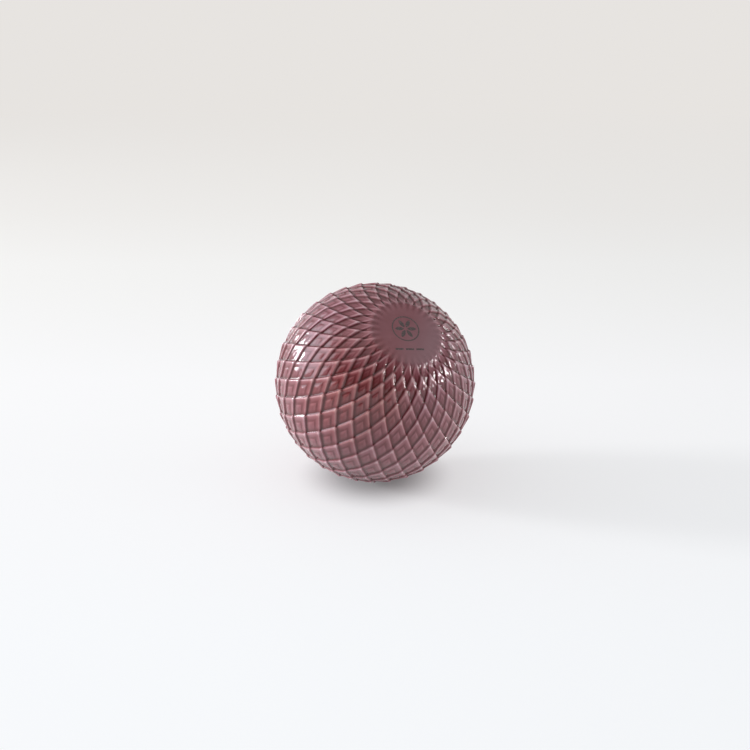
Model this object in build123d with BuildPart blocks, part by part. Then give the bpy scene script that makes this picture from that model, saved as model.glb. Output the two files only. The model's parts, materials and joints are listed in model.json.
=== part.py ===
"""A weighted lawn bowl of glazed stoneware, covered in a relief of overlapping scales.

The origin is the bowl's centre and +Z is up. The bowl lies on the ground with its polar axis, the one it
runs on, tilted up in the Y-Z plane, and with its bias side's end disc raised towards -Y. Sizes are in
millimetres and angles in degrees.
"""

import os
from dataclasses import dataclass
from math import cos, radians, sin, sqrt

from build123d import *

# The bowl as it lies
bowl_radius = 60.0  # to the raised tips of the scales
axis_tilt = 47.0  # of the polar axis above the ground

# The relief of scales, whose tips all point at the bias side's pole
scales_round = 30
scale_rows = 15
scale_step = 1.0  # how far a scale's edge stands over the scale beside it
first_tip_latitude = 19.0  # from the bias side's pole
first_tip_longitude = 1.2  # right-handed about the polar axis, from +X
widest_row_pitch = 10.0  # rows lie closest by the poles and widest at the middle
row_pitch_lead = 5.0

# The shell and what it holds
cavity_radius = 47.0
casting_shrinkage = 0.2  # the core's clearance in the cavity
weight_radius = 12.5
weight_height = 12.0
weight_groove = 1.5  # the core keys into this groove round the weight

# The stepped mouths and the end discs that close them
bias_disc_radius = 17.0
bias_bore_radius = 14.0
outer_disc_radius = 20.5
outer_bore_radius = 16.0
rebate_depth = 4.5
cement_thickness = 0.5
disc_edge_gap = 0.05
spigot_length = 4.0
spigot_clearance = 0.5  # between the end of a spigot and the core

# The inlaid badges
inlay_depth = 0.4
badge_turn = -10.0  # of the bias side's badge about the polar axis
badge_radius = 8.0
badge_ring_width = 0.7
badge_rise = 2.7  # of the badge's centre over the disc's centre
petal_count = 6
petal_start = 0.9
petal_length = 5.4
petal_bulge = 1.15
dash_count = 3
dash_length = 4.6
dash_pitch = 6.0
dash_width = 1.1
dash_drop = 10.3  # below the disc's centre
outer_ring_radii = (12.5, 9.5)
outer_ring_width = 0.9

centre = (0, 0, 0)
bias_pole = (0, -cos(radians(axis_tilt)), sin(radians(axis_tilt)))
outer_pole = tuple(-part for part in bias_pole)
polar_axis = Axis(centre, bias_pole)
bias_plane = Plane(origin=centre, x_dir=(1, 0, 0), z_dir=bias_pole)
outer_plane = Plane(origin=centre, x_dir=(1, 0, 0), z_dir=outer_pole)
# Sketches on the meridian plane have the distance from the polar axis as x and the height along it as y.
meridian_plane = Plane(origin=centre, x_dir=(1, 0, 0), z_dir=-bias_plane.y_dir)


def row_latitudes():
    """The angle of each row of the lattice from the bias side's pole, down to the feet of the last scales."""
    latitudes = [first_tip_latitude]
    while len(latitudes) < scale_rows + 2:
        pitch = widest_row_pitch * sqrt(sin(radians(latitudes[-1] + row_pitch_lead)))
        latitudes.append(latitudes[-1] + pitch)
    return latitudes


latitudes = row_latitudes()
last_row = len(latitudes) - 1


def lattice_point(row, half_step, layer):
    """A corner of the scale lattice. A scale's tip is in layer 2, its sides in layer 1, its foot in layer 0."""
    latitude = radians(latitudes[row])
    longitude = radians(first_tip_longitude + half_step * 180 / scales_round)
    radius = bowl_radius - (2 - layer) * scale_step
    direction = Vector(sin(latitude) * cos(longitude), sin(latitude) * sin(longitude), cos(latitude))
    return bias_plane.from_local_coords(direction * radius)


def polygon(*corners):
    return Face(Wire.make_polygon(corners, close=True))


def scale_faces(row, half_step):
    """One scale: two facets, and the step under each of its raised edges."""
    tip = lattice_point(row, half_step, 2)
    left = lattice_point(row + 1, half_step - 1, 1)
    right = lattice_point(row + 1, half_step + 1, 1)
    foot = lattice_point(row + 2, half_step, 0)
    faces = [polygon(tip, left, right), polygon(left, foot, right)]
    for side, corner in ((-1, left), (1, right)):
        below_corner = lattice_point(row + 1, half_step + side, 0)
        if row == 0:
            faces.append(polygon(tip, corner, below_corner))
        else:
            faces.append(polygon(tip, corner, below_corner, lattice_point(row, half_step, 1)))
    return faces


def half_steps(row):
    """The places round one row: alternate rows are shifted by half a scale."""
    return range(row % 2, 2 * scales_round, 2)


def relief_faces():
    """The bowl's whole outside: the scales, the notches that run out into one flat end, the tips that are
    cut off by the other, and both flat ends."""
    faces = [face for row in range(scale_rows) for step in half_steps(row) for face in scale_faces(row, step)]
    for step in half_steps(1):
        notch = (lattice_point(0, step - 1, 2), lattice_point(0, step + 1, 2), lattice_point(1, step, 0))
        faces.append(polygon(*notch))
    for step in half_steps(last_row - 1):
        cut_tip = lattice_point(last_row - 1, step, 2)
        feet = [lattice_point(last_row, step + side, 0) for side in (-1, 1)]
        faces.append(polygon(cut_tip, *feet))
        faces += [polygon(cut_tip, lattice_point(last_row - 1, step, 1), foot) for foot in feet]
    faces.append(polygon(*[lattice_point(0, step, 2) for step in half_steps(0)]))
    faces.append(polygon(*[lattice_point(last_row, step, 0) for step in half_steps(last_row)]))
    return faces


@dataclass
class Mouth:
    """One end of the bowl. Heights are from the bowl's centre along the end's own plane normal."""

    plane: Plane
    flat: float
    disc_radius: float
    bore_radius: float

    @property
    def rebate_floor(self):
        return self.flat - rebate_depth

    @property
    def plate_foot(self):
        return self.rebate_floor + cement_thickness

    @property
    def spigot_radius(self):
        return self.bore_radius - cement_thickness

    @property
    def spigot_foot(self):
        return self.plate_foot - spigot_length

    @property
    def core_top(self):
        return self.spigot_foot - spigot_clearance

    @property
    def bore_foot(self):
        return sqrt(cavity_radius**2 - self.bore_radius**2)


bias_flat = bowl_radius * cos(radians(latitudes[0]))
outer_flat = -(bowl_radius - 2 * scale_step) * cos(radians(latitudes[-1]))
bias_mouth = Mouth(bias_plane, bias_flat, bias_disc_radius, bias_bore_radius)
outer_mouth = Mouth(outer_plane, outer_flat, outer_disc_radius, outer_bore_radius)

# The glazed shell: a ball of scales, hollowed, with a stepped mouth at each end.
scaled_ball = Solid(Shell(relief_faces()))

with BuildPart() as glazed_body:
    add(scaled_ball)
    with BuildSketch(meridian_plane):
        with BuildLine():
            above = Polyline(
                (0, bowl_radius),
                (bias_mouth.disc_radius, bowl_radius),
                (bias_mouth.disc_radius, bias_mouth.rebate_floor),
                (bias_mouth.bore_radius, bias_mouth.rebate_floor),
                (bias_mouth.bore_radius, bias_mouth.bore_foot),
            )
            below = Polyline(
                (outer_mouth.bore_radius, -outer_mouth.bore_foot),
                (outer_mouth.bore_radius, -outer_mouth.rebate_floor),
                (outer_mouth.disc_radius, -outer_mouth.rebate_floor),
                (outer_mouth.disc_radius, -bowl_radius),
                (0, -bowl_radius),
            )
            ThreePointArc(above @ 1, (cavity_radius, 0), below @ 0)
            Line(below @ 1, above @ 0)
        make_face()
    revolve(axis=polar_axis, mode=Mode.SUBTRACT)

# The badge of the bias side: six petals in a ring over a row of dashes.
badge_right = bias_plane.from_local_coords(Vector(1, 0, 0).rotate(Axis.Z, badge_turn))
badge_plane = Plane(origin=bias_plane.z_dir * bias_flat, x_dir=badge_right, z_dir=bias_pole)

with BuildSketch() as petal:
    with BuildLine():
        ThreePointArc((0, 0), (petal_length / 2, petal_bulge), (petal_length, 0))
        ThreePointArc((0, 0), (petal_length / 2, -petal_bulge), (petal_length, 0))
    make_face()

with BuildPart() as bias_side_emblem:
    with BuildSketch(badge_plane):
        with Locations((0, badge_rise)):
            Circle(badge_radius)
            Circle(badge_radius - badge_ring_width, mode=Mode.SUBTRACT)
            with PolarLocations(petal_start, petal_count):
                add(petal.sketch)
        with Locations((0, -dash_drop)):
            with GridLocations(dash_pitch, 0, dash_count, 1):
                Rectangle(dash_length, dash_width)
    extrude(amount=-inlay_depth)

# The marks of the outer side: two plain rings.
with BuildPart() as outer_side_emblem:
    with BuildSketch(outer_plane.offset(outer_flat)):
        for radius in outer_ring_radii:
            Circle(radius)
            Circle(radius - outer_ring_width, mode=Mode.SUBTRACT)
    extrude(amount=-inlay_depth)

# The end discs: a plate in the rebate and a spigot in the bore, with a recess for the inlay.
with BuildPart() as bias_side_mount:
    with BuildSketch(bias_plane.offset(bias_mouth.plate_foot)):
        Circle(bias_mouth.disc_radius - disc_edge_gap)
    extrude(amount=bias_mouth.flat - bias_mouth.plate_foot)
    with BuildSketch(bias_plane.offset(bias_mouth.spigot_foot)):
        Circle(bias_mouth.spigot_radius)
    extrude(amount=spigot_length)
    add(bias_side_emblem.part, mode=Mode.SUBTRACT)

with BuildPart() as outer_side_mount:
    with BuildSketch(outer_plane.offset(outer_mouth.plate_foot)):
        Circle(outer_mouth.disc_radius - disc_edge_gap)
    extrude(amount=outer_mouth.flat - outer_mouth.plate_foot)
    with BuildSketch(outer_plane.offset(outer_mouth.spigot_foot)):
        Circle(outer_mouth.spigot_radius)
    extrude(amount=spigot_length)
    add(outer_side_emblem.part, mode=Mode.SUBTRACT)

# The cement: a bed on the rebate's floor and a collar round the spigot.
with BuildPart() as bias_mount_cement:
    with BuildSketch(bias_plane.offset(bias_mouth.rebate_floor)):
        Circle(bias_mouth.disc_radius)
        Circle(bias_mouth.spigot_radius, mode=Mode.SUBTRACT)
    extrude(amount=cement_thickness)
    with BuildSketch(bias_plane.offset(bias_mouth.spigot_foot)):
        Circle(bias_mouth.bore_radius)
        Circle(bias_mouth.spigot_radius, mode=Mode.SUBTRACT)
    extrude(amount=bias_mouth.rebate_floor - bias_mouth.spigot_foot)

with BuildPart() as outer_mount_cement:
    with BuildSketch(outer_plane.offset(outer_mouth.rebate_floor)):
        Circle(outer_mouth.disc_radius)
        Circle(outer_mouth.spigot_radius, mode=Mode.SUBTRACT)
    extrude(amount=cement_thickness)
    with BuildSketch(outer_plane.offset(outer_mouth.spigot_foot)):
        Circle(outer_mouth.bore_radius)
        Circle(outer_mouth.spigot_radius, mode=Mode.SUBTRACT)
    extrude(amount=outer_mouth.rebate_floor - outer_mouth.spigot_foot)

# The bias weight: a turned slug with a groove, its top level with the core's.
with BuildPart() as bias_weight:
    weight_foot = bias_mouth.core_top - weight_height
    groove_height = bias_mouth.core_top - weight_height / 2
    with BuildSketch(meridian_plane):
        with BuildLine():
            Polyline(
                (0, bias_mouth.core_top),
                (weight_radius, bias_mouth.core_top),
                (weight_radius, groove_height + weight_groove),
                (weight_radius - weight_groove, groove_height),
                (weight_radius, groove_height - weight_groove),
                (weight_radius, weight_foot),
                (0, weight_foot),
                close=True,
            )
        make_face()
    revolve(axis=polar_axis)

# The core, cast round the weight and up into both bores, where it is levelled off.
with BuildPart() as ballast_core:
    with BuildSketch(meridian_plane):
        with BuildLine():
            core_radius = cavity_radius - casting_shrinkage
            bias_neck_radius = bias_mouth.bore_radius - casting_shrinkage
            outer_neck_radius = outer_mouth.bore_radius - casting_shrinkage
            above = Polyline(
                (0, bias_mouth.core_top),
                (bias_neck_radius, bias_mouth.core_top),
                (bias_neck_radius, sqrt(core_radius**2 - bias_neck_radius**2)),
            )
            below = Polyline(
                (outer_neck_radius, -sqrt(core_radius**2 - outer_neck_radius**2)),
                (outer_neck_radius, -outer_mouth.core_top),
                (0, -outer_mouth.core_top),
            )
            ThreePointArc(above @ 1, (core_radius, 0), below @ 0)
            Line(below @ 1, above @ 0)
        make_face()
    revolve(axis=polar_axis)
    add(bias_weight.part, mode=Mode.SUBTRACT)

pieces = {
    "glazed_body": glazed_body,
    "bias_side_mount": bias_side_mount,
    "outer_side_mount": outer_side_mount,
    "bias_mount_cement": bias_mount_cement,
    "outer_mount_cement": outer_mount_cement,
    "ballast_core": ballast_core,
    "bias_weight": bias_weight,
    "bias_side_emblem": bias_side_emblem,
    "outer_side_emblem": outer_side_emblem,
}

os.makedirs("parts", exist_ok=True)
for name, piece in pieces.items():
    piece.part.label = name
    export_step(piece.part, f"parts/{name}.step")
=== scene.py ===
"""The looks of a weighted lawn bowl: glazed stoneware in a relief of overlapping scales, in a small studio.

All lengths are in metres, in the CAD frame. Latitudes, longitudes, bearings and the heights of directions are
in degrees. Latitudes are counted from the bias side's pole.
"""

import json
from math import asin, cos, pi, radians, sin, sqrt

import bpy
import numpy as np
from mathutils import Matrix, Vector, noise


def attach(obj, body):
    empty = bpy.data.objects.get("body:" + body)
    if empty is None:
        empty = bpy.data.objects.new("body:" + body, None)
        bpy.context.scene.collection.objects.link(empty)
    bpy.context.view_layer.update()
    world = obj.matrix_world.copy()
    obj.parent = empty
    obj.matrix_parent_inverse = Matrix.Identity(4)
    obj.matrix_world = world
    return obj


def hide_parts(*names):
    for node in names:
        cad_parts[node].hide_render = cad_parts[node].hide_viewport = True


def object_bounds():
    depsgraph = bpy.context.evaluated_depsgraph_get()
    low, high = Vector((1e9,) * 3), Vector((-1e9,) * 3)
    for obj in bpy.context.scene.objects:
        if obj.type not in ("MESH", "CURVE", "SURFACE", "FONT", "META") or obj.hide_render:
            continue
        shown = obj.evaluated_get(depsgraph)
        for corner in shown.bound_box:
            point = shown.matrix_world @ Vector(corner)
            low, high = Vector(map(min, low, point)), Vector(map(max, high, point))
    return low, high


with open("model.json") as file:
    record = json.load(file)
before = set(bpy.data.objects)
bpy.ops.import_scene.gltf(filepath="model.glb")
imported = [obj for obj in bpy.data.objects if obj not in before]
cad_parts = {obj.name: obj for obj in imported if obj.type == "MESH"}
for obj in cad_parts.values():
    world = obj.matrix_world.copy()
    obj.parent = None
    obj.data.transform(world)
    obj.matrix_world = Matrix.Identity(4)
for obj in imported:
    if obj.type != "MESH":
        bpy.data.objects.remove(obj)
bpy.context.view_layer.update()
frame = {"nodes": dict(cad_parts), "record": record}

MM = 0.001
mounts = {mount["name"]: mount for mount in frame["record"]["mounts"]}
POLE = Vector(mounts["bias_side_face"]["axis"]).normalized()
EAST = Vector((1, 0, 0))
NORTH = POLE.cross(EAST)
UP = Vector((0, 0, 1))
BIAS_FLAT = Vector(mounts["bias_side_face"]["pos_m"]).length
OUTER_FLAT = Vector(mounts["outer_side_face"]["pos_m"]).length

# The relief, as the CAD holds it. Its rows of scale corners are counted from the bias side's disc.
SCALES_ROUND = 30
SCALE_ROWS = 15
SCALE_STEP = 1.0 * MM
TIP_LAYERS = 2
FIRST_TIP_LATITUDE = 19.0
FIRST_TIP_LONGITUDE = 1.2
WIDEST_ROW_PITCH = 10.0
ROW_PITCH_LEAD = 5.0
BOWL_RADIUS = BIAS_FLAT / cos(radians(FIRST_TIP_LATITUDE))

# The shell behind the relief. A mouth has its rebate's radius and its bore's.
CAVITY_RADIUS = 47.0 * MM
CAVITY_BANDS = 14
REBATE_DEPTH = 4.5 * MM
DISC_SEAM = 0.04 * MM
BIAS_MOUTH = (17.0 * MM - DISC_SEAM, 14.0 * MM)
OUTER_MOUTH = (20.5 * MM - DISC_SEAM, 16.0 * MM)
LAND_RINGS = (0.2, 0.4, 0.6, 0.8, 1.0)

# The finer form of a scale. Its widths are shares of a scale's side.
STEP_WIDTH = 0.12
STEP_WIDTH_AT_DISC = 0.34
SOFT_ROWS = 6
RISE_ROWS = 0.85
FACET_FLATNESS = 0.6
TIP_REACH = 2.0
RIM_BLEND = 0.8 * MM
# Below this cosine of the latitude, the plane of the flat end lies far outside the bowl.
LEAST_COSINE = 0.1

# The chip, a smaller scale that lies on the lower part of each scale. Beside the disc it starts further down
# and is smaller still. It sets in over the first rows, and fades out over rows counted back from the last.
CHIP_START = 0.385
CHIP_STEP_WIDTH = 0.07
CHIP_HEIGHT = 0.38
CHIP_FALL = (0.6, 1.0)
CHIP_SET_IN = (-0.5, 4.5)
CHIP_FADE_OUT = (0.9, 0.3)
SMALL_CHIP_ROWS = 3
SMALL_CHIP_START = 0.12

# How deep the glaze lies, from about -0.6 where it is thinnest to 0.6 where it pools
POOL_EXTRA = 0.36
POOL_WIDENING = 0.5
# Beside the disc the glaze darkens further, partly real pooling and partly painted shade in the notches.
POOL_AND_SHADE_GAIN_AT_DISC = 0.5
TIP_THINNING_AT_DISC = 0.3
CHIP_POOL_DEPTH = 0.55
CHIP_POOL_REACH = 0.11
CHIP_EDGE_REACH = 0.025
CHIP_POOL_END = 0.97
CHIP_POOL_FADE = 0.35
LAND_GLAZE_DEPTH = -0.05

# The casting's unevenness: how wide its swells are, and how high. The cavity has none, nor a margin round it.
BROAD_SWELL = (22 * MM, 0.10 * MM)
FINE_SWELL = (6 * MM, 0.05 * MM)
FINE_SWELL_ORIGIN = Vector((7, 3, 5))
SKIN_MARGIN = 2 * MM

# Where mesh lines cross a scale's side. They gather at its own edge, its neighbour's edge and the chip's, and
# mirror each other, so that the flat ends can cut a scale from corner to corner along them.
MESH_LINES = (0, 0.03, 0.07, 0.14, 0.26, 0.345, 0.425, 0.575, 0.655, 0.74, 0.86, 0.93, 0.97)
LINE_COUNT = len(MESH_LINES)
ROUNDING = 1e-9


def smooth(value, low, high):
    """A smooth step from 0 at low to 1 at high."""
    share = np.clip((value - low) / (high - low), 0, 1)
    return share * share * (3 - 2 * share)


# ---------------------------------------------------------------- the relief's form


def row_latitudes():
    """The angle of each row of scale corners from the bias side's pole."""
    rows = [FIRST_TIP_LATITUDE]
    while len(rows) < SCALE_ROWS + 2:
        rows.append(rows[-1] + WIDEST_ROW_PITCH * sqrt(sin(radians(rows[-1] + ROW_PITCH_LEAD))))
    return rows


# The first tips reach a little way onto the flat end.
LATITUDES = row_latitudes()
LATITUDES[0] -= TIP_REACH
LAST_ROW = len(LATITUDES) - 1


def corner_directions(row, half_step):
    """Unit vectors to lattice corners, in local coordinates with the pole as z."""
    inside = np.clip(row, 0, LAST_ROW)
    latitude = np.radians(np.array(LATITUDES)[inside])
    longitude = np.radians(FIRST_TIP_LONGITUDE + half_step * 180 / SCALES_ROUND)
    east = np.sin(latitude) * np.cos(longitude)
    north = np.sin(latitude) * np.sin(longitude)
    return np.stack([east, north, np.cos(latitude)], axis=-1)


def step_profile(share, width):
    """A rounded sawtooth along a scale's side: it jumps by 1 at each whole number and falls between."""
    local = share - np.round(share)
    return smooth(local, -width / 2, width / 2) - local


def step_width(row):
    """Steps are soft and broad beside the disc and grow crisp away from it."""
    return STEP_WIDTH_AT_DISC + (STEP_WIDTH - STEP_WIDTH_AT_DISC) * smooth(row, 0, SOFT_ROWS)


def rise_from_disc(row):
    """How much of the relief has set in: none at the disc, where it starts softly, all of it a row on."""
    return smooth(row, 0, RISE_ROWS)


def fall_at_far_end(row):
    """How much of the relief is left: all of it up to the last row but one, none at the far flat end."""
    return np.clip(LAST_ROW - row, 0, 1)


def relief_layers(across, along, row):
    """The relief's height in layers, 0 at a scale's foot and 2 at its tip."""
    width = step_width(row)
    layers = step_profile(across, width) + step_profile(along, width)
    layers = TIP_LAYERS - (TIP_LAYERS - layers) * rise_from_disc(row)
    return layers * fall_at_far_end(row)


def chip_strength(row):
    """Chips set in over the first rows and stop short of the far flat end."""
    fade_start, fade_end = CHIP_FADE_OUT
    return smooth(row, *CHIP_SET_IN) * (1 - smooth(row, LAST_ROW - fade_start, LAST_ROW - fade_end))


def chip(across, along, row):
    """The chip's height, from 0 to 1."""
    start = CHIP_START + SMALL_CHIP_START * np.maximum(SMALL_CHIP_ROWS - row, 0) / SMALL_CHIP_ROWS
    rim = smooth(np.minimum(across, along), start - CHIP_STEP_WIDTH / 2, start + CHIP_STEP_WIDTH / 2)
    fall = 1 - smooth(np.maximum(across, along), *CHIP_FALL)
    return rim * fall * chip_strength(row)


def chip_pool(across, along, row):
    """Glaze at a chip's edge: above 0 outside it, where it pools, and below 0 on the edge, where it thins."""
    past_edge = np.minimum(across, along) - CHIP_START
    pooled = smooth(past_edge, -CHIP_POOL_REACH, CHIP_POOL_REACH)
    sharp = smooth(past_edge, -CHIP_EDGE_REACH, CHIP_EDGE_REACH)
    reach = smooth(CHIP_POOL_END - np.maximum(across, along), 0, CHIP_POOL_FADE)
    return (pooled - sharp) * reach * chip_strength(row)


def glaze_depth(across, along, row):
    """How thick the glaze lies: below 0 where it thins on an edge, above 0 where it pools under one."""
    width = step_width(row)
    pool_width = STEP_WIDTH + POOL_EXTRA + POOL_WIDENING * (width - STEP_WIDTH)
    pooled = step_profile(across, pool_width) + step_profile(along, pool_width)
    sharp = step_profile(across, width) + step_profile(along, width)
    depth = (pooled - sharp) * rise_from_disc(row) * fall_at_far_end(row)
    beside_disc = 1 - smooth(row, 0, SOFT_ROWS)
    # Beside the disc: partly pooled glaze, partly painted shade.
    depth = depth * (1 + POOL_AND_SHADE_GAIN_AT_DISC * beside_disc)
    above_middle = relief_layers(across, along, row) - TIP_LAYERS / 2
    depth = depth - TIP_THINNING_AT_DISC * above_middle * beside_disc * rise_from_disc(row)
    return depth + CHIP_POOL_DEPTH * chip_pool(across, along, row)


def blend_into_flat(radius, polar_cosine):
    """Rolls the relief over into the bias side's flat end instead of meeting it in a hard edge."""
    flat_radius = BIAS_FLAT / np.maximum(polar_cosine, LEAST_COSINE)
    overlap = np.clip(1 - np.abs(radius - flat_radius) / RIM_BLEND, 0, 1)
    return np.minimum(radius, flat_radius) - overlap**2 * RIM_BLEND / 4


# ---------------------------------------------------------------- the shell's mesh


class MeshParts:
    """Vertices, faces and per-vertex values of a mesh under construction."""

    def __init__(self):
        self.points = []
        self.faces = []
        self.depths = []
        self.corner_rings = []
        self.count = 0

    def add_points(self, points, depths):
        """Adds vertices with their glaze depths and returns their numbers."""
        first = self.count
        self.points.append(points)
        self.depths.append(depths)
        self.count += len(points)
        return np.arange(first, self.count)

    def add_face(self, face):
        self.faces.append(tuple(int(number) for number in face))

    def bridge(self, ring_a, ring_b):
        """Quads between two closed rings of the same length."""
        for face in zip(ring_a, ring_b, np.roll(ring_b, -1), np.roll(ring_a, -1)):
            self.add_face(face)


class ScaleVertices:
    """Numbers of the relief's vertices, by a scale's row and column and the mesh lines that cross there."""

    def __init__(self):
        self.rows = {}
        self.feet = None

    def at(self, row, column, i, j):
        """One vertex's number. A scale's far sides lie on the first lines of the scales beyond it."""
        if i == LINE_COUNT and j == LINE_COUNT:
            row, i, j = row + 2, 0, 0
        elif i == LINE_COUNT:
            column, row, i = column + row % 2, row + 1, 0
        elif j == LINE_COUNT:
            column, row, j = column - 1 + row % 2, row + 1, 0
        column %= SCALES_ROUND
        if row > SCALE_ROWS:
            return self.feet[column]
        return self.rows[row][column, i, j]


def half_steps(row):
    """The longitude of each scale's tip in a row, in halves of a scale's width."""
    return np.arange(SCALES_ROUND) * 2 + row % 2


def scale_grid(row):
    """A row's samples: their shares across and along each scale, and points between its four corners."""
    side_a, side_b = np.meshgrid(MESH_LINES, MESH_LINES, indexing="ij")
    shape = (SCALES_ROUND, LINE_COUNT, LINE_COUNT)
    across = np.broadcast_to(side_a, shape)
    along = np.broadcast_to(side_b, shape)
    step = np.broadcast_to(half_steps(row)[:, None, None], shape)
    points = (
        corner_directions(np.full_like(step, row), step) * ((1 - across) * (1 - along))[..., None]
        + corner_directions(np.full_like(step, row + 1), step + 1) * (across * (1 - along))[..., None]
        + corner_directions(np.full_like(step, row + 1), step - 1) * ((1 - across) * along)[..., None]
        + corner_directions(np.full_like(step, row + 2), step) * (across * along)[..., None]
    )
    return across, along, points


def kept_samples(row, across, along):
    """Which samples of a row are built. The flat ends cut their rows from corner to corner of each scale."""
    if row == -1:
        return across + along > 1 - ROUNDING
    if row == SCALE_ROWS:
        return across + along < 1 + ROUNDING
    return np.ones_like(across, bool)


def add_row(parts, row):
    """The vertices of one row of scales, each from its tip up to, and not with, its far sides."""
    across, along, flat_points = scale_grid(row)
    bulge = np.linalg.norm(flat_points, axis=-1)
    directions = flat_points / bulge[..., None]
    level = row + across + along
    layers = relief_layers(across, along, level) + CHIP_HEIGHT * chip(across, along, level)
    facet_radius = BOWL_RADIUS * (1 - FACET_FLATNESS * (1 - bulge))
    radius = blend_into_flat(facet_radius, directions[..., 2]) - (TIP_LAYERS - layers) * SCALE_STEP
    points = directions * radius[..., None]
    depth = glaze_depth(across, along, level)
    keep = kept_samples(row, across, along)
    numbers = np.full(across.shape, -1)
    numbers[keep] = parts.add_points(points[keep], depth[keep])
    return numbers


def add_feet(parts):
    """The feet of the last scales, which lie on the far flat end's edge."""
    directions = corner_directions(np.full(SCALES_ROUND, LAST_ROW), half_steps(LAST_ROW))
    radius = BOWL_RADIUS - TIP_LAYERS * SCALE_STEP
    return parts.add_points(directions * radius, np.zeros(SCALES_ROUND))


def cell_corners(row, column, i, j):
    """The corners of one mesh cell of a scale, or of the half of it that a flat end leaves, or none."""
    a = (row, column, i, j)
    b = (row, column, i + 1, j)
    c = (row, column, i + 1, j + 1)
    d = (row, column, i, j + 1)
    on_cut = i + j == LINE_COUNT - 1
    if row == -1 and i + j < LINE_COUNT:
        return (b, d, c) if on_cut else ()
    if row == SCALE_ROWS and i + j >= LINE_COUNT - 1:
        return (a, d, b) if on_cut else ()
    return a, d, c, b


def build_relief(parts):
    """The scales between both flat ends. Returns the ring of vertices along each end."""
    rows = range(-1, SCALE_ROWS + 1)
    vertices = ScaleVertices()
    for row in rows:
        vertices.rows[row] = add_row(parts, row)
    vertices.feet = add_feet(parts)
    for row in rows:
        for column in range(SCALES_ROUND):
            for cell in np.ndindex(LINE_COUNT, LINE_COUNT):
                corners = cell_corners(row, column, *cell)
                if corners:
                    parts.add_face(vertices.at(*corner) for corner in corners)

    near_ring, far_ring = [], []
    for column in range(SCALES_ROUND):
        # From the tip at line 0 across to the tip at the far side, along the cut diagonal
        near_ring += [vertices.at(-1, column, i, LINE_COUNT - i) for i in range(LINE_COUNT)]
        far_ring += [vertices.at(SCALE_ROWS, column, i, LINE_COUNT - i) for i in range(LINE_COUNT)]
    return np.array(near_ring), np.array(far_ring)


def circle_like(parts, ring, radius, height, share=1.0):
    """Points at the longitudes of a ring's points, on a circle round the polar axis or part way to it."""
    points = np.concatenate(parts.points)[ring]
    angle = np.arctan2(points[:, 1], points[:, 0])
    circle = np.stack([np.cos(angle) * radius, np.sin(angle) * radius, np.full(len(ring), height)], axis=1)
    return points * (1 - share) + circle * share


def roll_into_relief(points):
    """Lowers points on the bias side's land where its rim rolls over into the relief."""
    slant = np.hypot(np.linalg.norm(points[:, :2], axis=1), BIAS_FLAT)
    points[:, 2] = blend_into_flat(BOWL_RADIUS, BIAS_FLAT / slant) * BIAS_FLAT / slant


def close_end(parts, ring, flat, mouth, side):
    """The flat land and the stepped mouth of one end. Returns the ring where the bore meets the cavity."""
    disc_radius, bore_radius = mouth
    seat = flat - REBATE_DEPTH
    bore_foot = sqrt(CAVITY_RADIUS**2 - bore_radius**2)
    land = [(disc_radius, flat, share) for share in LAND_RINGS]
    wall = [(disc_radius, seat, 1.0), (bore_radius, seat, 1.0), (bore_radius, bore_foot, 1.0)]
    previous = ring
    for radius, height, share in land + wall:
        points = circle_like(parts, ring, radius, side * height, share)
        if side > 0 and height == flat:
            roll_into_relief(points)
        current = parts.add_points(points, np.full(len(ring), LAND_GLAZE_DEPTH))
        if side > 0:
            parts.bridge(current, previous)
        else:
            parts.bridge(previous, current)
        if share == 1.0:
            parts.corner_rings.append(current)
        previous = current
    return previous


def line_cavity(parts, ring, bias_rim, outer_rim):
    """The round cavity from one bore to the other, at the longitudes of a ring's points."""
    bias_angle = asin(BIAS_MOUTH[1] / CAVITY_RADIUS)
    outer_angle = pi - asin(OUTER_MOUTH[1] / CAVITY_RADIUS)
    previous = bias_rim
    for number in range(1, CAVITY_BANDS):
        angle = bias_angle + (outer_angle - bias_angle) * number / CAVITY_BANDS
        points = circle_like(parts, ring, CAVITY_RADIUS * sin(angle), CAVITY_RADIUS * cos(angle))
        current = parts.add_points(points, np.zeros(len(ring)))
        parts.bridge(current, previous)
        previous = current
    # The outer rim starts at another longitude, so it is turned to meet the cavity's last ring.
    points = np.concatenate(parts.points)
    start = np.linalg.norm(points[outer_rim] - points[previous[0]], axis=1).argmin()
    parts.bridge(np.roll(outer_rim, -start), previous)


def build_shell():
    """The glazed shell: the relief, the flat ends, both stepped mouths and the cavity."""
    parts = MeshParts()
    near_ring, far_ring = build_relief(parts)
    bias_rim = close_end(parts, near_ring, BIAS_FLAT, BIAS_MOUTH, 1)
    outer_rim = close_end(parts, far_ring, OUTER_FLAT, OUTER_MOUTH, -1)
    line_cavity(parts, near_ring, bias_rim, outer_rim)
    return parts


def to_frame(local):
    """Local coordinates with the pole as z, turned into the row's frame."""
    axes = np.array([EAST, NORTH, POLE])
    return local @ axes


def settle(points):
    """The slight unevenness of a hand-finished casting: up to about a tenth of a millimetre, in and out."""
    moved = points.copy()
    broad_size, broad_height = BROAD_SWELL
    fine_size, fine_height = FINE_SWELL
    for number, point in enumerate(points):
        place = Vector(point)
        if place.length < CAVITY_RADIUS + SKIN_MARGIN:
            continue
        lift = broad_height * noise.noise(place / broad_size)
        lift += fine_height * noise.noise(place / fine_size + FINE_SWELL_ORIGIN)
        moved[number] = place * (1 + lift / place.length)
    return moved


def sharpen_rings(mesh, rings):
    """Marks the edges along closed rings of vertices as sharp."""
    ring_of = np.full(len(mesh.vertices), -1)
    for number, ring in enumerate(rings):
        ring_of[ring] = number
    ends = np.empty(len(mesh.edges) * 2, np.int32)
    mesh.edges.foreach_get("vertices", ends)
    ends = ring_of[ends.reshape(-1, 2)]
    sharp = mesh.attributes.new("sharp_edge", "BOOLEAN", "EDGE")
    sharp.data.foreach_set("value", (ends[:, 0] >= 0) & (ends[:, 0] == ends[:, 1]))


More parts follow.
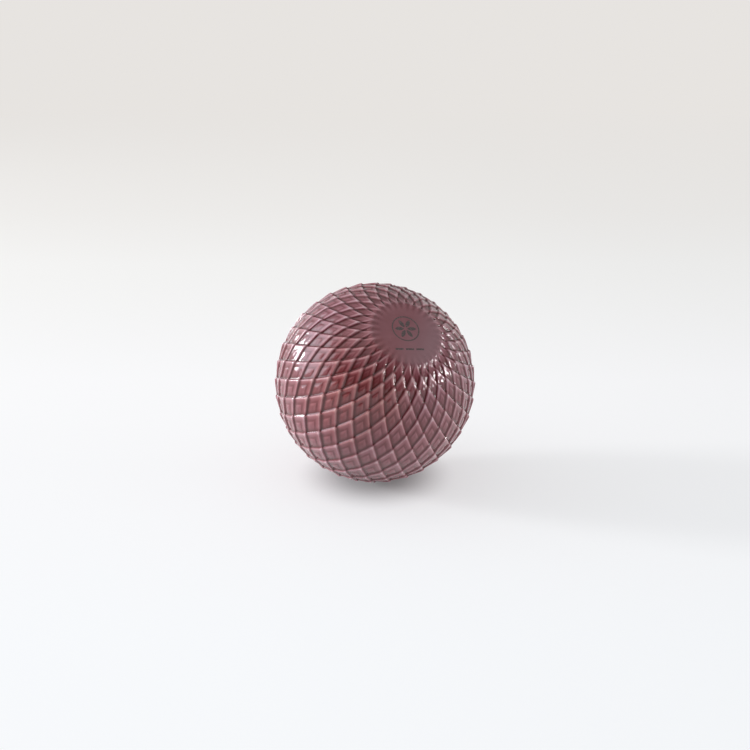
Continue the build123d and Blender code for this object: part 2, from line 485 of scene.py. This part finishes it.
def mesh_object(name, parts, material):
    """A smooth-shaded object that carries its glaze depths as an attribute."""
    points = settle(to_frame(np.concatenate(parts.points)))
    mesh = bpy.data.meshes.new(name)
    mesh.from_pydata(points.tolist(), [], parts.faces)
    mesh.validate()
    mesh.update()
    depth = mesh.attributes.new("glaze_depth", "FLOAT", "POINT")
    depth.data.foreach_set("value", np.concatenate(parts.depths).astype(np.float32))
    mesh.shade_smooth()
    sharpen_rings(mesh, parts.corner_rings)
    piece = bpy.data.objects.new(name, mesh)
    bpy.context.scene.collection.objects.link(piece)
    mesh.materials.append(material)
    return piece


# ---------------------------------------------------------------- materials


class Shader:
    """A material's node tree, with short calls for the nodes used here."""

    def __init__(self, name):
        self.material = bpy.data.materials.new(name)
        self.material.use_nodes = True
        self.nodes = self.material.node_tree.nodes
        self.links = self.material.node_tree.links
        self.surface = self.nodes["Principled BSDF"]
        self.place = self.nodes.new("ShaderNodeTexCoord").outputs["Object"]

    def set(self, **values):
        """Sets inputs of the surface, whose names are written with underscores for spaces."""
        for name, value in values.items():
            self.put(value, self.surface.inputs[name.replace("_", " ")])

    def put(self, value, socket):
        """Links another node's output to a socket, or gives the socket a plain value."""
        if isinstance(value, bpy.types.NodeSocket):
            self.links.new(value, socket)
        else:
            socket.default_value = value

    def attribute(self, name):
        node = self.nodes.new("ShaderNodeAttribute")
        node.attribute_name = name
        return node.outputs["Fac"]

    def vector_math(self, operation, first, second=(0, 0, 0)):
        node = self.nodes.new("ShaderNodeVectorMath")
        node.operation = operation
        self.links.new(first, node.inputs[0])
        node.inputs[1].default_value = second
        return node.outputs

    def dot(self, direction):
        """How far a point lies along a direction."""
        return self.vector_math("DOT_PRODUCT", self.place, direction)["Value"]

    def axis_distance(self, axis):
        """How far a point lies from the line through the bowl's centre along a unit axis."""
        sideways = self.vector_math("CROSS_PRODUCT", self.place, axis)["Vector"]
        return self.vector_math("LENGTH", sideways)["Value"]

    def noise(self, size, detail=2.0, roughness=0.5):
        """Noise from 0 to 1 whose lumps are about size metres wide."""
        node = self.nodes.new("ShaderNodeTexNoise")
        self.links.new(self.place, node.inputs["Vector"])
        node.inputs["Scale"].default_value = 1 / size
        node.inputs["Detail"].default_value = detail
        node.inputs["Roughness"].default_value = roughness
        return node.outputs["Fac"]

    def spots(self, size):
        """Distance to the nearest of scattered points, in shares of size."""
        node = self.nodes.new("ShaderNodeTexVoronoi")
        self.links.new(self.place, node.inputs["Vector"])
        node.inputs["Scale"].default_value = 1 / size
        return node.outputs["Distance"]

    def ramp(self, value, *stops):
        """Colours between stops of (position, colour)."""
        node = self.nodes.new("ShaderNodeValToRGB")
        self.put(value, node.inputs["Fac"])
        elements = node.color_ramp.elements
        while len(elements) < len(stops):
            elements.new(0.5)
        for element, (position, colour) in zip(elements, stops):
            element.position = position
            element.color = (*colour, 1)
        return node.outputs["Color"]

    def span(self, value, low, high, to_low=0.0, to_high=1.0):
        """A value's place between low and high, carried over to between to_low and to_high."""
        node = self.nodes.new("ShaderNodeMapRange")
        self.put(value, node.inputs["Value"])
        limits = (low, high, to_low, to_high)
        for name, number in zip(("From Min", "From Max", "To Min", "To Max"), limits):
            self.put(number, node.inputs[name])
        return node.outputs["Result"]

    def smoothstep(self, value, low, high, to_low=0.0, to_high=1.0):
        result = self.span(value, low, high, to_low, to_high)
        result.node.interpolation_type = "SMOOTHSTEP"
        return result

    def math(self, operation, first, second=0.0, third=0.0):
        node = self.nodes.new("ShaderNodeMath")
        node.operation = operation
        for value, socket in zip((first, second, third), node.inputs):
            self.put(value, socket)
        return node.outputs["Value"]

    def times(self, first, second):
        return self.math("MULTIPLY", first, second)

    def mix(self, share, first, second, blend="MIX"):
        """Mixes two colours, which may be plain ones."""
        node = self.nodes.new("ShaderNodeMix")
        node.data_type = "RGBA"
        node.blend_type = blend
        self.put(share, node.inputs["Factor"])
        for value, name in ((first, "A"), (second, "B")):
            socket = [s for s in node.inputs if s.name == name and s.type == "RGBA"][0]
            self.put(value if isinstance(value, bpy.types.NodeSocket) else (*value, 1), socket)
        return [s for s in node.outputs if s.type == "RGBA"][0]

    def bump(self, height, distance, strength=1.0, under=None):
        """A bumped normal, over the bumps of another one."""
        node = self.nodes.new("ShaderNodeBump")
        self.put(height, node.inputs["Height"])
        node.inputs["Distance"].default_value = distance
        self.put(strength, node.inputs["Strength"])
        if under is not None:
            self.links.new(under, node.inputs["Normal"])
        return node.outputs["Normal"]


GLAZE_IOR = 1.55
GLAZE_ROUGHNESS = (0.05, 0.12)
THIN_GLAZE = (0.60, 0.38, 0.41)
PALE_GLAZE = (0.325, 0.125, 0.146)
MIDDLE_GLAZE = (0.195, 0.054, 0.066)
DEEP_GLAZE = (0.115, 0.022, 0.025)
THICK_GLAZE = (0.085, 0.015, 0.017)
COOL_TINT = (0.90, 0.96, 1.12)
SPECK = (0.05, 0.02, 0.02)
DEEPEST = 0.6
DEPTH_MOTTLE = 0.2

# Where the glaze facing the camera is redder and darker, a painted dark reflection, and how far its edge
# wanders
CAMERA_FACING_SIDE = Vector((-0.61, -0.75, 0.24)).normalized()
REFLECTION_RANGE = (47 * MM, 60 * MM)
REFLECTION_WANDER = 5 * MM
DARK_REFLECTION_TINT = (1.05, 0.81, 0.70)

# The bias side's flat end, greyer towards one side with a painted sheen, and shining softer
END_RANGE = (BIAS_FLAT - 1.6 * MM, BIAS_FLAT - 0.3 * MM)
SHEEN_DRIFT = (EAST * 0.7 - NORTH * 0.7).normalized()
SHEEN_DRIFT_RANGE = (-2 * MM, 15 * MM)
PAINTED_SHEEN_GREY = (0.27, 0.145, 0.165)
PAINTED_SHEEN_SHARE = 0.75
END_DULLNESS = 0.12
FLUTE_RANGE = (13.5 * MM, 18.5 * MM)
FLUTE_HEIGHT = 0.12 * MM
FLUTE_THINNING = 0.12


def glaze_colours(shader, depth, mottle):
    """Wine-coloured glaze over white stoneware: pale where it is thin, dark where it pools."""
    uneven = shader.math("MULTIPLY_ADD", shader.math("SUBTRACT", mottle, 0.5), DEPTH_MOTTLE, depth)
    colour = shader.ramp(
        shader.span(uneven, -DEEPEST, DEEPEST),
        (0.08, THIN_GLAZE),
        (0.34, PALE_GLAZE),
        (0.51, MIDDLE_GLAZE),
        (0.68, DEEP_GLAZE),
        (0.9, THICK_GLAZE),
    )
    cool = shader.span(shader.noise(35 * MM, 1), 0.35, 0.7, 0, 0.4)
    colour = shader.mix(cool, colour, COOL_TINT, "MULTIPLY")
    # Painted dark reflection: redder and darker where the glaze faces the camera.
    wander = shader.span(mottle, 0, 1, -REFLECTION_WANDER, REFLECTION_WANDER)
    dark_reflection = shader.span(shader.math("ADD", shader.dot(CAMERA_FACING_SIDE), wander), *REFLECTION_RANGE)
    colour = shader.mix(dark_reflection, colour, DARK_REFLECTION_TINT, "MULTIPLY")
    specks = shader.span(shader.spots(2.2 * MM), 0.05, 0.11, 1, 0)
    rare = shader.span(shader.noise(4 * MM, 0), 0.62, 0.66, 0, 0.5)
    return shader.mix(shader.times(specks, rare), colour, SPECK)


def end_flutes(shader):
    """Soft streaks that carry the first scales on over the flat end's edge: 1 at a tip, -1 between tips."""
    angle = shader.math("ARCTAN2", shader.dot(NORTH), shader.dot(EAST))
    first_tip = SCALES_ROUND * radians(FIRST_TIP_LONGITUDE)
    turn = shader.math("MULTIPLY_ADD", angle, SCALES_ROUND, -first_tip)
    fade = shader.span(shader.axis_distance(POLE), *FLUTE_RANGE)
    return shader.times(shader.math("COSINE", turn), shader.times(fade, fade))


def glaze_normal(shader, flutes, on_end):
    """Flutes and waves in the glaze's skin. The end lies evener, and the smallest ripples come in patches."""
    evener = shader.span(on_end, 0, 1, 1, 0.2)
    patches = shader.span(shader.noise(7 * MM, 1), 0.35, 0.52, 0, shader.span(on_end, 0, 1, 1, 0))
    # Each wave's width, detail, height and strength
    waves = (
        (14 * MM, 1, 0.35 * MM, on_end),
        (3.0 * MM, 2, 0.09 * MM, evener),
        (1.7 * MM, 1, 0.07 * MM, patches),
        (0.9 * MM, 1, 0.012 * MM, 1.0),
    )
    normal = shader.bump(flutes, FLUTE_HEIGHT)
    for width, detail, height, strength in waves:
        normal = shader.bump(shader.noise(width, detail), height, strength, normal)
    return normal


def glaze(name, pooled):
    """The glaze over the scales, where it has pooled, or over the end discs, where it lies evenly."""
    shader = Shader(name)
    depth = shader.attribute("glaze_depth") if pooled else LAND_GLAZE_DEPTH
    mottle = shader.noise(9 * MM, 3)
    on_end = shader.span(shader.dot(POLE), *END_RANGE)
    flutes = shader.times(on_end, end_flutes(shader))
    depth = shader.math("MULTIPLY_ADD", flutes, -FLUTE_THINNING, depth)
    # Painted sheen: the flat end greys towards one side.
    painted_sheen = shader.span(shader.dot(SHEEN_DRIFT), *SHEEN_DRIFT_RANGE, 0, PAINTED_SHEEN_SHARE)
    colour = shader.mix(shader.times(on_end, painted_sheen), glaze_colours(shader, depth, mottle), PAINTED_SHEEN_GREY)
    roughness = shader.span(mottle, 0.3, 0.7, *GLAZE_ROUGHNESS)
    shader.set(
        Base_Color=colour,
        Roughness=shader.math("MULTIPLY_ADD", on_end, END_DULLNESS, roughness),
        IOR=GLAZE_IOR,
        Normal=glaze_normal(shader, flutes, on_end),
    )
    return shader.material


def badge_print():
    """Dark grey ceramic ink, fired a little unevenly under the glaze."""
    shader = Shader("badge_print")
    wear = shader.noise(0.9 * MM, 3)
    shader.set(
        Base_Color=shader.ramp(wear, (0.3, (0.070, 0.052, 0.053)), (0.7, (0.105, 0.066, 0.068))),
        Roughness=shader.span(wear, 0.3, 0.7, 0.16, 0.3),
        Normal=shader.bump(shader.noise(0.5 * MM, 2), 0.006 * MM),
    )
    return shader.material


def cement():
    """Grey jointing cement with sand grains and fine pores."""
    shader = Shader("jointing_cement")
    grain = shader.noise(0.6 * MM, 4, 0.7)
    tone = shader.ramp(grain, (0.3, (0.34, 0.32, 0.29)), (0.7, (0.62, 0.60, 0.55)))
    pores = shader.span(shader.spots(1.3 * MM), 0.1, 0.25)
    shader.set(
        Base_Color=shader.mix(pores, (0.18, 0.17, 0.15), tone),
        Roughness=0.9,
        Normal=shader.bump(shader.math("MULTIPLY_ADD", pores, 0.8, grain), 0.12 * MM),
    )
    return shader.material


def cast_resin():
    """The core: brown filled resin, cloudy inside, with the odd bubble at its skin."""
    shader = Shader("cast_resin")
    cloud = shader.noise(14 * MM, 4, 0.6)
    colour = shader.ramp(
        cloud,
        (0.3, (0.17, 0.10, 0.05)),
        (0.55, (0.30, 0.21, 0.12)),
        (0.8, (0.42, 0.33, 0.22)),
    )
    bubbles = shader.span(shader.spots(3.5 * MM), 0.08, 0.2)
    shader.set(
        Base_Color=colour,
        Roughness=shader.span(cloud, 0.3, 0.7, 0.32, 0.5),
        Normal=shader.bump(bubbles, 0.15 * MM),
    )
    return shader.material


def weight_iron():
    """Turned cast iron: dark grey with fine tool marks round the axis and a little rust."""
    shader = Shader("weight_iron")
    mark_pitch = 0.45 * MM
    marks = shader.math("SINE", shader.times(shader.axis_distance(POLE), 2 * pi / mark_pitch))
    metal = shader.ramp(shader.noise(0.4 * MM, 2), (0.3, (0.16, 0.16, 0.17)), (0.7, (0.30, 0.30, 0.31)))
    rust = shader.noise(4 * MM, 5, 0.65)
    shader.set(
        Base_Color=shader.mix(shader.span(rust, 0.55, 0.72), metal, (0.22, 0.09, 0.04)),
        Metallic=shader.span(rust, 0.55, 0.72, 0.95, 0.1),
        Roughness=shader.span(rust, 0.4, 0.72, 0.38, 0.85),
        Normal=shader.bump(marks, 0.012 * MM),
    )
    return shader.material


# ---------------------------------------------------------------- the pieces


def dress_frame():
    """Gives every CAD piece that is shown its material."""
    disc_material = glaze("disc_glaze", False)
    print_material = badge_print()
    cement_material = cement()
    node_materials = {
        "bias_side_mount": disc_material,
        "outer_side_mount": disc_material,
        "bias_side_emblem": print_material,
        "outer_side_emblem": print_material,
        "bias_mount_cement": cement_material,
        "outer_mount_cement": cement_material,
        "ballast_core": cast_resin(),
        "bias_weight": weight_iron(),
    }
    for node, material in node_materials.items():
        for material_slot in frame["nodes"][node].material_slots:
            material_slot.material = material


shell = mesh_object("scaled_shell", build_shell(), glaze("mauve_glaze", True))
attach(shell, "root")
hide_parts("glazed_body")
dress_frame()

# ---------------------------------------------------------------- the studio

# The camera
VIEW_AZIMUTH = radians(-26.4)
VIEW_ELEVATION = radians(20.0)
VIEW_DISTANCE = 533.42 * MM
LENS = 42.8
SENSOR = 36.0
LOWER_IN_FRAME = 0.0101
NEAREST_SEEN = 0.01
FARTHEST_SEEN = 60
VIEW_RIGHT = Vector((cos(VIEW_AZIMUTH), sin(VIEW_AZIMUTH), 0))
VIEW_AWAY = Vector((-sin(VIEW_AZIMUTH), cos(VIEW_AZIMUTH), 0))
TO_CAMERA = UP * sin(VIEW_ELEVATION) - VIEW_AWAY * cos(VIEW_ELEVATION)
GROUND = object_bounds()[0].z

# The floor, a sheet lit partly from below. Its tones go with the slope that it is seen at, growing darker far
# off as a painted falloff of light, and its haze with that and with how far from the bowl it lies.
BACKDROP = (0.80, 0.775, 0.75)
FLOOR_REACH = 30.0
FLOOR_ALBEDO = 0.45
FLOOR_GLOW = 0.565
PAINTED_FALLOFF_TONES = (
    (0.2, (0.91, 0.90, 0.885)),
    (0.3, (0.935, 0.93, 0.92)),
    (0.45, (0.985, 0.985, 0.995)),
    (0.9, (0.985, 1.0, 1.02)),
)
FALLOFF_SLOPES = (0.0, 0.8)
HAZE_SLOPES = (0.05, 0.22)
HAZE_DISTANCES = (0.9, 4.0)
NEAREST_FLOOR = 0.2
CONTACT_SHADE = 0.25
CONTACT_RANGE = (14 * MM, 52 * MM)
PAINTED_DIM_SIDE_RANGE = (-0.05, 0.35)
PAINTED_DIM_SIDE_GLOW = 0.955

# The room round it. A pair gives where a change starts and ends, as a component of the unit direction seen.
WALL_TONE = 1.1
CEILING_TONE = 0.95
LEFT_TONE = 1.15
RIGHT_TONE = 0.52
DARKNESS = 0.95
DARK_TOWARDS_CAMERA = (0.1, 0.75)
DARK_BELOW = (0.45, 0.85)
FAR_WALL_TONE = 0.5
FAR_WALL_AWAY = (0.0, 0.7)
FAR_WALL_ABOVE = (0.0, 0.3)
LOBE_BEARING = 12
LOBE_HEIGHT = 12
LOBE_RANGE = (0.76, 0.95)
LOBE_TONE = 2.4
LOBE_TONE_ON_MATT = 0.6
LOBE_TINT = (0.90, 0.99, 1.08)

# Windows: name, bearing, height, distance, width, how tall and radiance
KEY_WINDOWS = (
    ("key_window_near", 26, 8, 3.5, 0.19, 0.8, 25),
    ("key_window_far", 33, 9, 3.5, 0.22, 0.85, 25),
)
SIDE_PANEL = ("side_panel", 8, 10, 3.5, 0.6, 0.7, 92)
RIGHT_PANES = (
    ("right_pane_0", 176, 2, 2.5, 0.15, 0.24, 80),
    ("right_pane_1", 190, 2, 2.5, 0.15, 0.24, 80),
    ("right_pane_2", 205, 0, 2.5, 0.15, 0.24, 80),
)


def studio_direction(bearing, height):
    """A direction from the bowl: bearing 0 is the view's left, 90 away from the camera, 180 the right."""
    flat = -VIEW_RIGHT * cos(radians(bearing)) + VIEW_AWAY * sin(radians(bearing))
    return flat * cos(radians(height)) + UP * sin(radians(height))


def window(name, bearing, height, distance, width, tall, radiance):
    """A rectangular light that faces the bowl, given by how bright its face is."""
    light = bpy.data.lights.new(name, "AREA")
    light.shape = "RECTANGLE"
    light.size = width
    light.size_y = tall
    light.energy = radiance * pi * width * tall
    lamp = bpy.data.objects.new(name, light)
    direction = studio_direction(bearing, height)
    lamp.location = direction * distance
    lamp.rotation_mode = "QUATERNION"
    lamp.rotation_quaternion = direction.to_track_quat("Z", "Y")
    bpy.context.scene.collection.objects.link(lamp)
    return lamp


def build_lights():
    """Windows that only glint in the glaze, a panel that lights without a glint, and panes on the right."""
    for key_window in KEY_WINDOWS:
        window(*key_window).visible_diffuse = False
    window(*SIDE_PANEL).visible_glossy = False
    for pane in RIGHT_PANES:
        # The last pane stands furthest towards the camera, and only glints as well.
        window(*pane).visible_diffuse = pane is not RIGHT_PANES[-1]


def floor_material():
    """Matt white sheet lit partly from below, like a light table, that fades into the backdrop far away."""
    shader = Shader("floor_paper")
    camera_height = TO_CAMERA.z * VIEW_DISTANCE - GROUND
    camera_back = cos(VIEW_ELEVATION) * VIEW_DISTANCE
    distance = shader.math("ADD", shader.dot(VIEW_AWAY), camera_back)
    slope = shader.math("DIVIDE", camera_height, shader.math("MAXIMUM", distance, NEAREST_FLOOR))
    from_bowl = shader.axis_distance(UP)
    low_haze = shader.span(slope, *HAZE_SLOPES, 1, 0)
    haze = shader.math("MAXIMUM", low_haze, shader.span(from_bowl, *HAZE_DISTANCES))
    # Painted falloff: the floor's tone darkens with distance.
    tone = shader.ramp(shader.span(slope, *FALLOFF_SLOPES), *PAINTED_FALLOFF_TONES)
    # Painted contact shadow: the glow fades near the bowl.
    contact_shade = shader.smoothstep(from_bowl, *CONTACT_RANGE, CONTACT_SHADE, 1)
    # Painted falloff: the glow dims a little to the right.
    sideways = shader.span(shader.dot(VIEW_RIGHT), *PAINTED_DIM_SIDE_RANGE, 1.0, PAINTED_DIM_SIDE_GLOW)
    glow = shader.times(shader.times(sideways, FLOOR_GLOW), contact_shade)
    albedo = shader.mix(1.0, tone, (FLOOR_ALBEDO,) * 3, "MULTIPLY")
    shader.set(
        Base_Color=shader.mix(haze, albedo, (0, 0, 0)),
        Roughness=1.0,
        Specular_IOR_Level=0.0,
        Emission_Color=shader.mix(haze, shader.mix(1.0, tone, glow, "MULTIPLY"), BACKDROP),
        Emission_Strength=1.0,
    )
    return shader.material


def build_floor():
    """A broad flat sheet under the bowl, far wider than any view of it."""
    mesh = bpy.data.meshes.new("studio_floor")
    sides = ((-1, -1), (1, -1), (1, 1), (-1, 1))
    mesh.from_pydata([(x * FLOOR_REACH, y * FLOOR_REACH, GROUND) for x, y in sides], [], [(0, 1, 2, 3)])
    floor = bpy.data.objects.new("studio_floor", mesh)
    bpy.context.scene.collection.objects.link(floor)
    mesh.materials.append(floor_material())


class Sky(Shader):
    """The world's node tree, with a material's short calls."""

    def __init__(self, name):
        world = bpy.data.worlds.new(name)
        bpy.context.scene.world = world
        world.use_nodes = True
        self.nodes = world.node_tree.nodes
        self.links = world.node_tree.links
        self.surface = self.nodes["Background"]
        self.place = self.nodes.new("ShaderNodeTexCoord").outputs["Generated"]


def room_tone(sky):
    """How bright the room is: most on the window side, less on the far wall, dark low behind the camera."""
    height = sky.dot(UP)
    tone = sky.span(height, 0.0, 1.0, WALL_TONE, CEILING_TONE)
    tone = sky.times(tone, sky.span(sky.dot(-VIEW_RIGHT), -1, 1, RIGHT_TONE, LEFT_TONE))
    towards_camera = sky.smoothstep(sky.dot(-VIEW_AWAY), *DARK_TOWARDS_CAMERA)
    below = sky.math("SUBTRACT", 1.0, sky.smoothstep(height, *DARK_BELOW))
    dark = sky.times(sky.times(towards_camera, below), DARKNESS)
    tone = sky.times(tone, sky.math("SUBTRACT", 1.0, dark))
    away = sky.smoothstep(sky.dot(VIEW_AWAY), *FAR_WALL_AWAY)
    far_wall = sky.times(away, sky.smoothstep(height, *FAR_WALL_ABOVE))
    return sky.times(tone, sky.span(far_wall, 0, 1, 1, FAR_WALL_TONE))


def build_world():
    """A pale room with a bright lobe of bluer daylight on the window side."""
    sky = Sky("studio_room")
    path = sky.nodes.new("ShaderNodeLightPath").outputs
    lobe = sky.smoothstep(sky.dot(studio_direction(LOBE_BEARING, LOBE_HEIGHT)), *LOBE_RANGE)
    lobe_tone = sky.span(path["Is Glossy Ray"], 0, 1, LOBE_TONE_ON_MATT, LOBE_TONE)
    radiance = sky.math("MULTIPLY_ADD", lobe, lobe_tone, room_tone(sky))
    tinted = sky.mix(1.0, radiance, sky.mix(lobe, (1, 1, 1), LOBE_TINT), "MULTIPLY")
    # The camera sees a plain backdrop instead, in the tone of the far floor.
    sky.set(Color=sky.mix(path["Is Camera Ray"], tinted, BACKDROP), Strength=1.0)


def build_camera():
    """The camera, which faces the bowl's centre and shows it a little below the middle of the frame."""
    data = bpy.data.cameras.new("studio_camera")
    data.lens = LENS
    data.sensor_width = SENSOR
    data.shift_y = LOWER_IN_FRAME
    data.clip_start = NEAREST_SEEN
    data.clip_end = FARTHEST_SEEN
    camera = bpy.data.objects.new("studio_camera", data)
    camera.location = TO_CAMERA * VIEW_DISTANCE
    camera.rotation_mode = "QUATERNION"
    camera.rotation_quaternion = TO_CAMERA.to_track_quat("Z", "Y")
    bpy.context.scene.collection.objects.link(camera)
    bpy.context.scene.camera = camera


build_floor()
build_world()
build_lights()
build_camera()
bpy.context.scene.view_settings.view_transform = "Standard"
